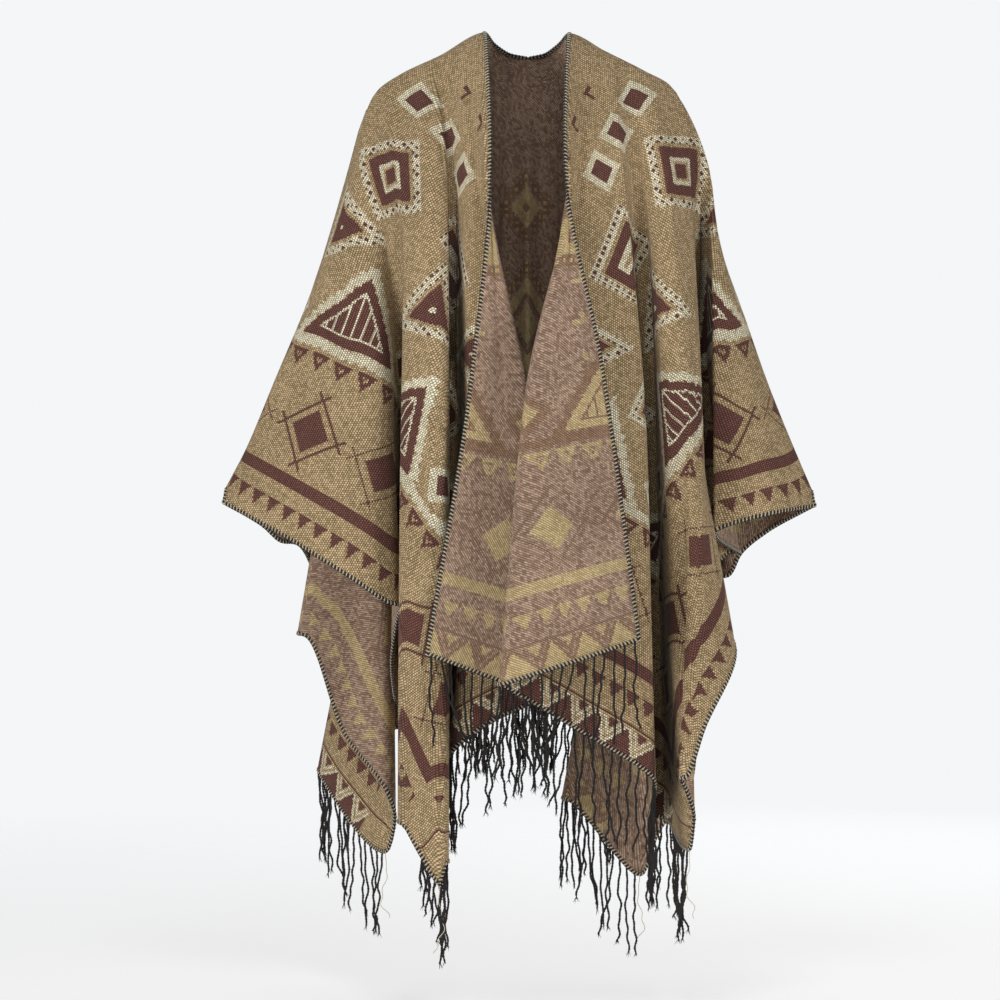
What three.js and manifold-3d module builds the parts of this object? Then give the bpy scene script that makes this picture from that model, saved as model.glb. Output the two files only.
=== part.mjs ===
// A ruana in its worn shape: one woven blanket over the shoulders, slit down the front, with fringe.
// Millimetres, +Z up, the front faces -Y. The origin is on the shoulder line, midway between neck sides.
import * as THREE from "three";
import Module from "manifold-3d";
import { mergeVertices } from "three/addons/utils/BufferGeometryUtils.js";

const wasm = await Module();
wasm.setup();

// Sizes of the flat blanket and of its parts. From a neck side to a side edge it is 650.
const halfLength = 760;         // from the shoulder line to a hem
const wall = 2.0;               // cloth thickness
const seamGap = 0.3;            // between the panels along the shoulder line
const rootGap = 0.8;            // between a hem and the strip that carries its fringe
const stripDepth = 3.0;         // height of that strip
const stripWall = 1.4;          // and its thickness
const rootShare = 0.75;         // where in the strip's height the strands start
const strandLength = 106;
const strandRadii = [0.65, 1.7, 1.5];  // at its root, middle and tip
const strandPitch = 15.5;       // between strands along the hem
const strandBow = 2.5;          // sideways at the strand's middle
const strandLean = 0.16;        // how much a strand keeps the cloth's own direction, the rest hangs plumb
const turnShare = 0.35;         // share of a rail at which the turn along a fold is full
const startShare = 0.15;        // how far apart a fold's two lines start, as a share of its turn
const roundOver = 0.07;         // share of a rail that bends over the shoulder
const rowCount = 18;            // rows of points from shoulder line to edge
const columnPitch = 42;         // flat distance between columns of points along the edges

// The line over shoulder and arm, from the back of the neck to the sleeve tip.
// Columns: flat distance from the neck side, then the place x, y, z.
const ridgeColumns = ["s", "x", "y", "z"];
const ridgeLeft = [
  [-50, 3, 50, -20],
  [-30, -18, 44, -17],
  [-12, -38, 24, -7],
  [0, -48, 0, 2],
  [55, -101, 0, -25],
  [110, -149, 0, -48],
  [143, -175, 0, -67],
  [172, -188, -1.6, -94],
  [228, -203, -4.7, -148],
  [336, -233, -10.7, -251],
  [402, -254, -14.3, -314],
  [498, -290, -19.6, -402],
  [593, -327, -24.9, -490],
  [650, -356, -28, -544],
];
const ridgeRight = [
  [-50, 3, 50, -20],
  [-30, 22, 44, -17],
  [-12, 40, 24, -7],
  [0, 50, 0, 1],
  [50, 93, 0, -20],
  [103, 140, 0, -44],
  [136, 168, 0, -60],
  [165, 181, -1.6, -85],
  [230, 193, -5.1, -148],
  [345, 226, -11.4, -257],
  [410, 249, -14.9, -319],
  [505, 280, -20.1, -408],
  [594, 313, -24.9, -490],
  [650, 338, -28, -548],
];

// One row for each fold, crest or edge station that runs from the shoulder line to hem or side edge.
// s: where it leaves the shoulder line. u, v: its end in the flat cloth, out from the slit and down.
// round: how wide a turn the cloth makes along it.
// xa, ya and xb, yb: its place across and in depth at shares 0.25 and 0.6 of its length.
// x, y, z: its end.
const railColumns = ["name", "s", "u", "v", "round", "xa", "ya", "xb", "yb", "x", "y", "z"];
const frontLeft = [
  ["lapel_edge", 0, 0, 760, 0, -41, -100, -65, -118, -115, -132, -724],
  ["lapel_middle", 8, 75, 760, 0, -47, -97, -31, -118, -44, -134, -750],
  ["lapel_roll", 22, 148, 760, 12, -56, -88, 3, -109, 25, -121, -775],
  ["strip", 36, 215, 760, 0, -68, -84, -31, -98, -31, -110, -798],
  ["strip_end", 45, 280, 760, 0, -72, -80, -67, -88, -84, -102, -837],
  ["pleat_inside", 54, 360, 760, 0, -78, -70, -74, -44, -92, -30, -856],
  ["pleat_valley", 63, 445, 760, 14, -86, -62, -92, 0, -112, 45, -878],
  ["pleat_behind", 72, 535, 760, 0, -92, -72, -104, -42, -122, -30, -905],
  ["column_right", 82, 625, 760, 10, -96, -84, -92, -112, -91, -126, -962],
  ["corner", 95, 650, 760, 0, -108, -89, -105, -118, -99, -135, -986],
  ["column_crest", 107, 650, 715, 0, -120, -87, -122, -120, -124, -135, -948],
  ["column_left", 122, 650, 675, 10, -138, -76, -143, -105, -145, -118, -918],
  ["column_back", 132, 650, 572, 0, -145, -66, -131, -58, -131, -35, -868],
  ["arm_valley", 142, 650, 468, 14, -154, -54, -137, -8, -138, 55, -813],
  ["arm_front", 152, 650, 365, 0, -165, -47, -152, -38, -158, -15, -745],
  ["sleeve_start", 164, 650, 260, 10, -178, -42, -162, -70, -148, -78, -670],
  ["sleeve_middle", 300, 650, 200, 0, -230, -45, -218, -80, -203, -95, -638],
  ["sleeve_outer", 460, 650, 118, 0, -287, -38, -281, -60, -273, -75, -595],
  ["sleeve_tip", 640, 650, 10, 0, -352, -31, -353, -33, -355, -36, -552],
];
const frontRight = [
  ["lapel_edge", 0, 0, 760, 0, 43, -100, 87, -145, 127, -168, -706],
  ["lapel_middle", 8, 85, 760, 0, 48, -97, 47, -156, 48, -185, -732],
  ["lapel_roll", 22, 171, 760, 14, 58, -88, -2, -149, -31, -172, -757],
  ["strip", 40, 270, 760, 0, 84, -84, 84, -126, 54, -154, -807],
  ["strip_end", 54, 389, 760, 0, 112, -80, 136, -100, 146, -125, -874],
  ["pleat_valley", 68, 525, 760, 14, 132, -64, 147, -20, 152, 5, -924],
  ["corner", 82, 650, 760, 8, 147, -80, 162, -108, 184, -115, -949],
  ["column_crest", 96, 650, 715, 0, 162, -82, 181, -112, 190, -130, -913],
  ["column_edge", 108, 650, 655, 8, 173, -74, 191, -112, 175, -152, -864],
  ["column_right", 120, 650, 590, 0, 183, -62, 200, -100, 202, -150, -804],
  ["column_side", 131, 650, 495, 0, 191, -48, 198, -62, 239, -105, -723],
  ["arm_valley", 142, 650, 390, 9, 199, -38, 199, -5, 206, -20, -666],
  ["arm_valley_back", 154, 650, 280, 9, 207, -34, 211, 12, 250, 30, -611],
  ["sleeve_start", 168, 650, 160, 0, 216, -38, 217, -60, 217, -75, -587],
  ["sleeve_outer", 360, 650, 100, 0, 247, -40, 258, -60, 270, -75, -568],
  ["sleeve_tip", 640, 650, 10, 0, 335, -31, 336, -33, 338, -36, -556],
];
const backLeft = [
  ["centre", -50, -50, 760, 0, 3, 75, 3, 95, 3, 95, -765],
  ["pleat_1", -30, 35, 760, 10, -22, 90, -28, 130, -35, 165, -772],
  ["pleat_2", -10, 140, 760, 10, -45, 74, -55, 80, -70, 75, -778],
  ["pleat_3", 10, 245, 760, 10, -68, 88, -85, 125, -110, 155, -800],
  ["pleat_4", 29, 335, 760, 10, -90, 77, -112, 88, -145, 100, -825],
  ["pleat_5", 48, 430, 760, 0, -110, 86, -145, 118, -189, 135, -850],
  ["fold_back", 68, 528, 760, 14, -132, 80, -180, 128, -250, 160, -881],
  ["fold_front", 88, 645, 760, 10, -150, 64, -147, 72, -170, 30, -968],
  ["edge_low", 99, 650, 715, 0, -159, 56, -160, 55, -155, 14, -927],
  ["edge_bend", 109, 650, 680, 0, -166, 49, -172, 44, -165, 6, -894],
  ["edge_middle", 121, 650, 590, 0, -175, 42, -198, 38, -216, 40, -829],
  ["edge_high", 134, 650, 455, 10, -186, 36, -222, 34, -270, 50, -710],
  ["arm_valley", 147, 650, 310, 14, -196, 46, -225, 115, -232, 180, -660],
  ["sleeve_start", 164, 650, 120, 10, -208, 26, -246, 44, -284, 45, -600],
  ["sleeve_outer", 400, 650, 60, 0, -268, 5, -288, 18, -315, 22, -578],
  ["sleeve_tip", 640, 650, 10, 0, -352, -25, -353, -23, -355, -20, -552],
];
const backRight = [
  ["centre", -50, -50, 760, 0, 3, 75, 3, 95, 3, 95, -765],
  ["pleat_1", -30, 35, 760, 10, 26, 90, 34, 130, 40, 165, -775],
  ["pleat_2", -10, 140, 760, 10, 46, 76, 58, 88, 70, 100, -785],
  ["pleat_3", 10, 245, 760, 10, 68, 88, 86, 135, 100, 185, -808],
  ["pleat_4", 29, 335, 760, 0, 90, 78, 108, 105, 122, 140, -830],
  ["fold_back", 48, 430, 760, 20, 114, 83, 143, 125, 168, 165, -860],
  ["fold_front", 68, 545, 760, 14, 134, 66, 114, 60, 46, 30, -905],
  ["corner", 88, 650, 760, 0, 152, 54, 160, 46, 135, 22, -995],
  ["edge_low", 100, 650, 700, 0, 163, 48, 180, 46, 159, 34, -944],
  ["edge_bend", 112, 650, 630, 0, 173, 45, 197, 48, 198, 46, -889],
  ["edge_middle", 124, 650, 525, 10, 182, 45, 205, 52, 216, 60, -789],
  ["arm_valley", 137, 650, 410, 14, 192, 50, 212, 110, 214, 175, -721],
  ["edge_high", 150, 650, 280, 10, 202, 34, 224, 44, 236, 52, -641],
  ["sleeve_start", 170, 650, 200, 0, 212, 24, 238, 36, 258, 42, -612],
  ["sleeve_outer", 420, 650, 90, 0, 262, 6, 276, 20, 290, 28, -585],
  ["sleeve_tip", 640, 650, 10, 0, 335, -25, 336, -23, 338, -20, -556],
];

// Rows of a table as objects with the columns' names.
function named(columns, rows) {
  return rows.map((row) => Object.fromEntries(columns.map((key, i) => [key, row[i]])));
}

// The slope of a curve at a knot: none at a crest or valley, else a mean of the slopes beside it.
function slopeAt(knots, values, k) {
  const slope = (a) => (values[a + 1] - values[a]) / (knots[a + 1] - knots[a]);
  if (k === 0) {
    return slope(0);
  }
  if (k === knots.length - 1) {
    return slope(k - 1);
  }
  const before = slope(k - 1);
  const after = slope(k);
  if (before * after <= 0) {
    return 0;
  }
  const near = 2 * (knots[k + 1] - knots[k]) + knots[k] - knots[k - 1];
  const far = knots[k + 1] - knots[k] + 2 * (knots[k] - knots[k - 1]);
  return (near + far) / (near / before + far / after);
}

// A smooth value between knots, which never passes the values beside it.
function smooth(knots, values, at) {
  let i = 0;
  while (i < knots.length - 2 && at > knots[i + 1]) {
    i += 1;
  }
  const span = knots[i + 1] - knots[i];
  const h = (at - knots[i]) / span;
  const h2 = h * h;
  const h3 = h2 * h;
  return (2 * h3 - 3 * h2 + 1) * values[i] + (h3 - 2 * h2 + h) * span * slopeAt(knots, values, i)
    + (3 * h2 - 2 * h3) * values[i + 1] + (h3 - h2) * span * slopeAt(knots, values, i + 1);
}

// A value on the straight line between two knots.
function straight(knots, values, at) {
  const i = Math.max(1, knots.findIndex((knot) => knot >= at));
  const share = (at - knots[i - 1]) / (knots[i] - knots[i - 1]);
  return values[i - 1] + (values[i] - values[i - 1]) * share;
}

// The place on the shoulder line at flat distance s from the neck side. Its depth is straight between
// rows, so that the rims of front and back stay side by side.
function onRidge(ridge, s) {
  const knots = ridge.map((row) => row.s);
  const values = (axis) => ridge.map((row) => row[axis]);
  return [
    smooth(knots, values("x"), s), straight(knots, values("y"), s), smooth(knots, values("z"), s),
  ];
}

// The drop along a rail: level over the shoulder, then steady.
function drop(t) {
  const a = roundOver;
  return (Math.sqrt(t * t + a * a) - a) / (Math.sqrt(1 + a * a) - a);
}

// A point of a rail at share t of its length.
function onRail(ridge, rail, t) {
  const start = onRidge(ridge, rail.s);
  const shares = [0, 0.25, 0.6, 1];
  return [
    smooth(shares, [start[0], rail.xa, rail.xb, rail.x], t),
    smooth(shares, [start[1], rail.ya, rail.yb, rail.y], t),
    start[2] + (rail.z - start[2]) * drop(t),
  ];
}

// The lines that a panel is stretched over: one for each rail, or two where the cloth turns round it.
// at: flat distance along hem and side edge. rail: its row's place in the table.
function threadsOf(rails) {
  const threads = [];
  let at = 0;
  rails.forEach((rail, i) => {
    if (i > 0) {
      at += Math.hypot(rail.u - rails[i - 1].u, rail.v - rails[i - 1].v);
    }
    for (const side of rail.round > 0 ? [-0.5, 0.5] : [0]) {
      threads.push({ rail: i, at: at + side * rail.round, side: side * rail.round });
    }
  });
  return threads;
}

function level(point) {
  return new THREE.Vector2(point[0], point[1]);
}

// The places of all threads at share t, less the part that their starts on the shoulder line give.
function across(ridge, rails, threads, t) {
  const points = rails.map((rail) => onRail(ridge, rail, t));
  const opening = Math.min(1, t / turnShare);
  return threads.map(({ rail, side }) => {
    const place = level(points[rail]);
    const turn = new THREE.Vector2();
    if (side !== 0) {
      const before = level(points[rail - 1]).sub(place).normalize();
      turn.copy(level(points[rail + 1])).sub(place).normalize().sub(before).setLength(side * opening);
    }
    const start = onRidge(ridge, rails[rail].s);
    return [place.x + turn.x, place.y + turn.y, points[rail][2]].map((c, k) => c - start[k] * (1 - t));
  });
}

// The middle surface of a panel, as columns of points, with those that end on its hem.
function surface(ridge, rails) {
  const threads = threadsOf(rails);
  const knots = threads.map((thread) => thread.at);
  const starts = threads.map(({ rail, side }) => rails[rail].s + side * startShare);
  const places = [];
  for (let i = 1; i < knots.length; i += 1) {
    const parts = Math.max(1, Math.round((knots[i] - knots[i - 1]) / columnPitch));
    for (let k = 0; k < parts; k += 1) {
      places.push(knots[i - 1] + (knots[i] - knots[i - 1]) * k / parts);
    }
  }
  places.push(knots.at(-1));
  const tops = places.map((place) => onRidge(ridge, smooth(knots, starts, place)));
  const columns = places.map(() => []);
  for (let row = 0; row < rowCount; row += 1) {
    const t = Math.pow(row / (rowCount - 1), 1.25);
    const points = across(ridge, rails, threads, t);
    columns.forEach((column, i) => column.push(tops[i].map((c, k) => c * (1 - t)
      + smooth(knots, points.map((p) => p[k]), places[i]))));
  }
  const lastOnHem = rails.filter((rail) => rail.v === halfLength).length - 1;
  const hemEnd = Math.max(...threads.filter((thread) => thread.rail === lastOnHem)
    .map((thread) => thread.at));
  return { columns, hem: columns.filter((column, i) => places[i] <= hemEnd + 1e-6) };
}

function vector(point) {
  return new THREE.Vector3(point[0], point[1], point[2]);
}

// Unit normals of a grid of points. Sign 1 or -1 says which way its columns run.
function normals(grid, sign, downs) {
  return grid.map((column, i) => column.map((point, j) => {
    const before = vector(grid[Math.max(i - 1, 0)][j]);
    const after = vector(grid[Math.min(i + 1, grid.length - 1)][j]);
    const above = vector(column[Math.max(j - 1, 0)]);
    const below = vector(column[Math.min(j + 1, column.length - 1)]);
    const across = after.sub(before).normalize();
    const down = below.sub(above).normalize();
    if (downs) {
      down.copy(downs[i]);
    } else if (j === 0) {
      down.set(0, Math.sign(down.y), 0);
    }
    return across.cross(down).multiplyScalar(sign).normalize();
  }));
}

// A closed wall of some thickness round a grid of points.
function wallOf(grid, sign, shift, thickness, downs) {
  const across = grid.length;
  const down = grid[0].length;
  const outward = normals(grid, sign, downs);
  const positions = [];
  for (const side of [0.5, -0.5]) {
    for (let i = 0; i < across; i += 1) {
      for (let j = 0; j < down; j += 1) {
        const p = vector(grid[i][j]).addScaledVector(outward[i][j], side * thickness);
        positions.push(p.x, p.y + shift, p.z);
      }
    }
  }
  const at = (side, i, j) => side * across * down + i * down + j;
  const faces = [];
  const quad = (a, b, c, d) => {
    if (sign > 0) {
      faces.push(a, b, c, a, c, d);
    } else {
      faces.push(a, c, b, a, d, c);
    }
  };
  for (let i = 0; i < across - 1; i += 1) {
    for (let j = 0; j < down - 1; j += 1) {
      quad(at(0, i, j), at(0, i + 1, j), at(0, i + 1, j + 1), at(0, i, j + 1));
      quad(at(1, i, j), at(1, i, j + 1), at(1, i + 1, j + 1), at(1, i + 1, j));
    }
    quad(at(0, i, 0), at(1, i, 0), at(1, i + 1, 0), at(0, i + 1, 0));
    quad(at(0, i, down - 1), at(0, i + 1, down - 1), at(1, i + 1, down - 1), at(1, i, down - 1));
  }
  for (let j = 0; j < down - 1; j += 1) {
    quad(at(0, 0, j), at(0, 0, j + 1), at(1, 0, j + 1), at(1, 0, j));
    const end = across - 1;
    quad(at(0, end, j), at(1, end, j), at(1, end, j + 1), at(0, end, j + 1));
  }
  const geometry = new THREE.BufferGeometry();
  geometry.setAttribute("position", new THREE.Float32BufferAttribute(positions, 3));
  geometry.setIndex(faces);
  return geometry;
}

const cloth = new THREE.MeshStandardMaterial({ color: 0x8a6a4c, roughness: 0.95, metalness: 0.0 });
const yarn = new THREE.MeshStandardMaterial({ color: 0x241f1e, roughness: 0.9, metalness: 0.0 });

function panel(name, grid, sign, shift) {
  const geometry = wallOf(grid, sign, shift, wall);
  geometry.computeVertexNormals();
  const mesh = new THREE.Mesh(geometry, cloth);
  mesh.name = name;
  return mesh;
}

// The directions, one for each column of a hem, that leave the cloth square to its edge.
function hemDirections(hem) {
  return hem.map((column, i) => {
    const before = vector(hem[Math.max(i - 1, 0)].at(-1));
    const along = vector(hem[Math.min(i + 1, hem.length - 1)].at(-1)).sub(before).normalize();
    const down = vector(column.at(-1)).sub(vector(column.at(-2)));
    return down.addScaledVector(along, -down.dot(along)).normalize();
  });
}

function toSolid(geometry) {
  const merged = mergeVertices(geometry, 1e-4);
  return new wasm.Manifold(new wasm.Mesh({
    numProp: 3,
    vertProperties: new Float32Array(merged.attributes.position.array),
    triVerts: new Uint32Array(merged.index.array),
  }));
}

function toGeometry(solid) {
  const mesh = solid.getMesh();
  const geometry = new THREE.BufferGeometry();
  geometry.setAttribute("position", new THREE.BufferAttribute(mesh.vertProperties, 3));
  geometry.setIndex(new THREE.BufferAttribute(mesh.triVerts, 1));
  return geometry;
}

// One strand: a three-sided tapering rod with a slight bow, from a root in the strip.
function strand(root, direction, turn) {
  const side = new THREE.Vector3(Math.cos(turn), Math.sin(turn), 0);
  side.addScaledVector(direction, -side.dot(direction)).normalize();
  const other = direction.clone().cross(side);
  const positions = [];
  strandRadii.forEach((radius, ring) => {
    const share = ring / (strandRadii.length - 1);
    const middle = root.clone().addScaledVector(direction, share * strandLength)
      .addScaledVector(side, 4 * strandBow * share * (1 - share));
    for (let k = 0; k < 3; k += 1) {
      const angle = k * 2 * Math.PI / 3;
      positions.push(...middle.clone().addScaledVector(side, radius * Math.cos(angle))
        .addScaledVector(other, radius * Math.sin(angle)).toArray());
    }
  });
  const faces = [0, 2, 1, 6, 7, 8];
  for (let ring = 0; ring < 2; ring += 1) {
    for (let k = 0; k < 3; k += 1) {
      const a = ring * 3 + k;
      const b = ring * 3 + (k + 1) % 3;
      faces.push(a, b, b + 3, a, b + 3, a + 3);
    }
  }
  const rod = new THREE.BufferGeometry();
  rod.setAttribute("position", new THREE.Float32BufferAttribute(positions, 3));
  rod.setIndex(faces);
  return toSolid(rod);
}

// The fringe of one hem: strands fused into a narrow strip just below the cloth's edge.
function fringe(name, hem, sign, shift) {
  const away = hemDirections(hem);
  const strip = hem.map((column, i) => [rootGap, rootGap + stripDepth].map((far) => vector(column.at(-1))
    .addScaledVector(away[i], far).toArray()));
  const pieces = [toSolid(wallOf(strip, sign, shift, stripWall, away))];
  const lengths = [0];
  for (let i = 1; i < strip.length; i += 1) {
    lengths.push(lengths[i - 1] + vector(strip[i][0]).distanceTo(vector(strip[i - 1][0])));
  }
  const whole = lengths.at(-1);
  const count = Math.round(whole / strandPitch);
  for (let n = 0; n < count; n += 1) {
    const at = (n + 0.5) * whole / count;
    const i = Math.max(1, lengths.findIndex((length) => length > at));
    const share = (at - lengths[i - 1]) / (lengths[i] - lengths[i - 1]);
    const middle = (column) => vector(column[0]).lerp(vector(column[1]), rootShare);
    const root = middle(strip[i - 1]).lerp(middle(strip[i]), share);
    const direction = away[i - 1].clone().lerp(away[i], share).multiplyScalar(strandLean)
      .add(new THREE.Vector3(0.05 * Math.sin(2.4 * n), 0, strandLean - 1)).normalize();
    root.y += shift;
    pieces.push(strand(root, direction, 2.4 * n));
  }
  const geometry = toGeometry(wasm.Manifold.union(pieces));
  geometry.computeVertexNormals();
  const mesh = new THREE.Mesh(geometry, yarn);
  mesh.name = name;
  return mesh;
}

const left = named(ridgeColumns, ridgeLeft);
const right = named(ridgeColumns, ridgeRight);
const leftFront = surface(left, named(railColumns, frontLeft));
const rightFront = surface(right, named(railColumns, frontRight));
const leftBack = surface(left, named(railColumns, backLeft));
const rightBack = surface(right, named(railColumns, backRight));

// The back is one grid from the left sleeve tip over the centre to the right one.
const backGrid = leftBack.columns.slice().reverse().concat(rightBack.columns.slice(1));
const backHem = leftBack.hem.slice().reverse().concat(rightBack.hem.slice(1));

const ruana = new THREE.Group();
ruana.add(panel("front_left", leftFront.columns, 1, -seamGap / 2));
ruana.add(panel("front_right", rightFront.columns, -1, -seamGap / 2));
ruana.add(panel("back", backGrid, -1, seamGap / 2));
ruana.add(fringe("fringe_front_left", leftFront.hem, 1, -seamGap / 2));
ruana.add(fringe("fringe_front_right", rightFront.hem, -1, -seamGap / 2));
ruana.add(fringe("fringe_back", backHem, -1, seamGap / 2));

export default ruana;
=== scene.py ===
"""The ruana's look: woven cloth, overlocked edges and corded fringe on the form of its solids."""
import math
import bpy
import numpy as np
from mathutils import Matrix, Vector


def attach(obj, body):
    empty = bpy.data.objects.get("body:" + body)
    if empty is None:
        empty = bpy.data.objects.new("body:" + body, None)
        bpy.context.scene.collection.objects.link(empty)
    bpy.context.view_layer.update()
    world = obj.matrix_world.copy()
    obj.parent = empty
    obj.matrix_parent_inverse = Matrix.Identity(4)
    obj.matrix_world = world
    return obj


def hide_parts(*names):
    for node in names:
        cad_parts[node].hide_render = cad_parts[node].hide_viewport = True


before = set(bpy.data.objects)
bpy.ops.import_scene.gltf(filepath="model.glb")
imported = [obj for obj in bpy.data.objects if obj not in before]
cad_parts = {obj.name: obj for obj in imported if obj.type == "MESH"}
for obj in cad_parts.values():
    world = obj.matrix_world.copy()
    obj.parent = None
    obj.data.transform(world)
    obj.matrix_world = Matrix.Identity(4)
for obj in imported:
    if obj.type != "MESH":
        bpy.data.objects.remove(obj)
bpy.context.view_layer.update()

# Sizes are in millimetres unless a comment says otherwise, and the cloth's are those of the solids.
MM = 0.001
HALF_WIDTH = 650          # from a neck side to the side edge
HALF_LENGTH = 760         # from the shoulder line to a hem
WALL = 2.2                # cloth thickness
NECK = 50                 # flat half width of the neck cut
ROUND_OVER = 0.07         # share of a rail that bends over the shoulder
TURN_SHARE = 0.35         # share of a rail at which the turn along a fold is full
START_SHARE = 0.15        # how far apart a fold's two lines start, as a share of its turn
ROW_GATHER = 1.25         # more than 1 gathers the rows of points at the shoulder line
COLUMN_PITCH = 10.5       # between columns of points of the fine cloth
ROWS = 84
COARSE_PITCH = 36         # the same on the grid that the cloth is flattened on
COARSE_ROWS = 22
RELAX_STEPS = 80
HOLD = 3.0                # how firmly known flat places are kept
FREE_HOLD = 1e-7          # the same for places that move freely
SHORTEST = 2              # distances below this one weigh no more than it
FOLD_WEIGHT = 0.04        # how firmly a fold's walls keep their scale, against 1 for cloth that faces out

# Yarns of the cloth.
THREAD = 2.3              # the step of a motif's edge
CROSSING = 2.7            # one crossing of the plain weave that shows
TWILL_RIB = 2.35          # between the diagonal ribs of the other face
TWILL_FLOAT = 3.4
WEAR_PATCH = 90           # size of the soft lighter and darker patches
WEAR = 0.24               # how much they change the shade

# Edges: overlock stitches over a cord of loops.
STITCH_PITCH = 4.4
BINDING = 1.1             # radius of the cord of loops
DARK_STITCH = 0.8         # radius of the thread
PALE_STITCH = 0.62

# Fringe and loose thread ends.
CORD_PITCH = 12.5
CORD_LENGTH = 106
CORD_RADIUS = 1.45
CORD_STEPS = 44           # points along a cord
FRAYS = 6                 # loose fibres at the end of a cord
NEW_BUNCH = 0.33          # chance that a cord starts a new bunch
BUNCH_PULL = 0.75         # how near the cords of a bunch come together, as a share
TAIL_LENGTH = 78
TAIL_RADIUS = 0.45
TAIL_STEPS = 60

# Room, in metres.
FLOOR_HEIGHT = -1.14      # just under the longest cords
FLOOR_RADIUS = 2.4
FLOOR_CLEAR = 0.5         # from the middle to where the floor starts to fade
CAMERA_PLACE = (-0.0307, -3.6, -0.5487)
VIEW_WIDTH = 1.18         # what the picture spans at the garment
SENSOR = 36               # width of the camera's sensor in millimetres

# Woven pattern on the flat cloth. A depth runs in from the side edge or from the zigzag band of a hem.
ZIGZAG_BAND = 36
ZIGZAG_HEIGHT = 32
ZIGZAG_PITCH = 40
ZIGZAG_START = 45         # from the side edge
HEM_LINE = 3
BEAD_PITCH = 23
BEAD_HALF = 9.5
BEAD_HEIGHT = 17
BEAD_DEPTH = 31
BEAD_START = 48           # from a corner
STRIPE = (50, 64)
STEP = 100                # between crossed diamonds
LOZENGE_DEPTH = 117
LOZENGE = 26              # from middle to corner
CROSS_LINE = 38           # from a diamond's middle to the lines around it
CROSS_ARM = 54            # how far those lines run
CROSS_HALF = 2            # half the lines' width
TOOTH_PITCH = 30
TOOTH_HALF = 13
TOOTH_HEIGHT = 22
TOOTH_DEPTH = 204
TOOTH_GAP = (4.4, 6.4)    # the open ring of a small triangle
TOOTH_START = 188
JAG_PITCH = 12
JAGGED_LINE = (210, 220)
JAGGED_START = 205
PEAK_DEPTH = 222
PEAK_HALF = 62
PEAK_HEIGHT = 84
PEAK_EDGE = 10            # width of its dark edge
PEAK_LINE = 12.4          # where the cream line inside that edge ends
PEAK_HALO = (-7, 3)       # the ragged cream edge around it
HALO_DEPTH = 217
HATCH_PITCH = 11
HATCH_HALF = 1.2
RAGGED_PITCH = 9
STONE_DEPTH = 250
STONE = 27
STONE_EDGE = 11
FIELD_DEPTH = 300         # where the field starts
GEM_PLACE = 163
GEM_RUN = (22, 193)       # from the shoulder line
GEM_PITCH = 57
GEM_FIRST = 50
GEM_HALF = 19
GEM_EDGE = 8
HOOK_PLACE = 112
HOOK_PITCH = 49
HOOK_FIRST = 30
HOOK_START = 42
SLANT = 0.71              # from a diamond's depth at its corners to that at its edges
DOT_PITCH = 8
DOT_HALF = 1.9
FRAME_CREAM = (0, 11)     # rings of a frame, by depth
FRAME_DOTS = (2, 10)
FRAME_DARK = (15, 28)
FRAME_LINE = (28, 33)
FRAME_HEART = 37

# Field motifs.
FRAME_DIAMOND_COLUMNS = ("u", "v", "radius")
FRAME_DIAMONDS = [
    (262, 92, 64),
    (0, 330, 78),
    (0, 190, 46),
]
FRAME_BOX_COLUMNS = ("u", "v", "half_u", "half_v")
FRAME_BOXES = [
    (232, 240, 36, 50),
    (345, 385, 40, 30),
    (110, 275, 42, 36),
]
FRAME_TRIANGLE_COLUMNS = ("u", "base", "half_base", "height")
FRAME_TRIANGLES = [
    (345, 20, 50, 96),
    (330, 215, 54, 92),
    (225, 335, 56, 84),
]

# Faces of the cloth: thread sizes, how much of a thread bends down at its ends, and the painted shade in
# its grooves and the painted light that its crests add, which darken and lighten the colour thread by
# thread.
PLAIN_WEAVE = {"long": CROSSING, "wide": CROSSING, "slanted": False,
               "bend": 1, "groove_painted_shade": 0.16, "crest": 1.30}
TWILL_WEAVE = {"long": TWILL_FLOAT, "wide": TWILL_RIB, "slanted": True,
               "bend": 0.35, "groove_painted_shade": 0.23, "crest": 0.80}
OUTER = {"ground": (0.47, 0.335, 0.195, 1), "ground_fleck": (0.245, 0.18, 0.088, 1),
         "dark": (0.105, 0.042, 0.035, 1), "dark_fleck": (0.135, 0.062, 0.045, 1),
         "cream": (0.68, 0.62, 0.46, 1), "cream_fleck": (0.46, 0.40, 0.27, 1),
         "line": (0.12, 0.055, 0.04, 1)}
REVERSE = {"ground": (0.45, 0.315, 0.225, 1), "ground_fleck": (0.21, 0.13, 0.09, 1),
           "dark": (0.56, 0.43, 0.235, 1), "dark_fleck": (0.38, 0.275, 0.135, 1),
           "cream": (0.21, 0.12, 0.075, 1), "cream_fleck": (0.30, 0.19, 0.12, 1),
           "line": (0.24, 0.15, 0.10, 1)}

# An overlock stitch from one face round the edge to the other: how deep in the cloth, which face, how
# far off it, how far along the edge, and thickness as a share.
STITCH_COLUMNS = ("depth", "face", "off", "lead", "thick")
STITCH_ROUTE = [
    (3.8, 1, 0.1, 1.4, 0.5),
    (2.0, 1, 0.5, 0.7, 1),
    (0.2, 1, 0.4, 0.2, 1),
    (-0.7, 0, 0, 0, 1),
    (0.2, -1, 0.4, 0.2, 1),
    (2.0, -1, 0.5, 0.7, 1),
    (3.8, -1, 0.1, 1.4, 0.5),
]

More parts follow.
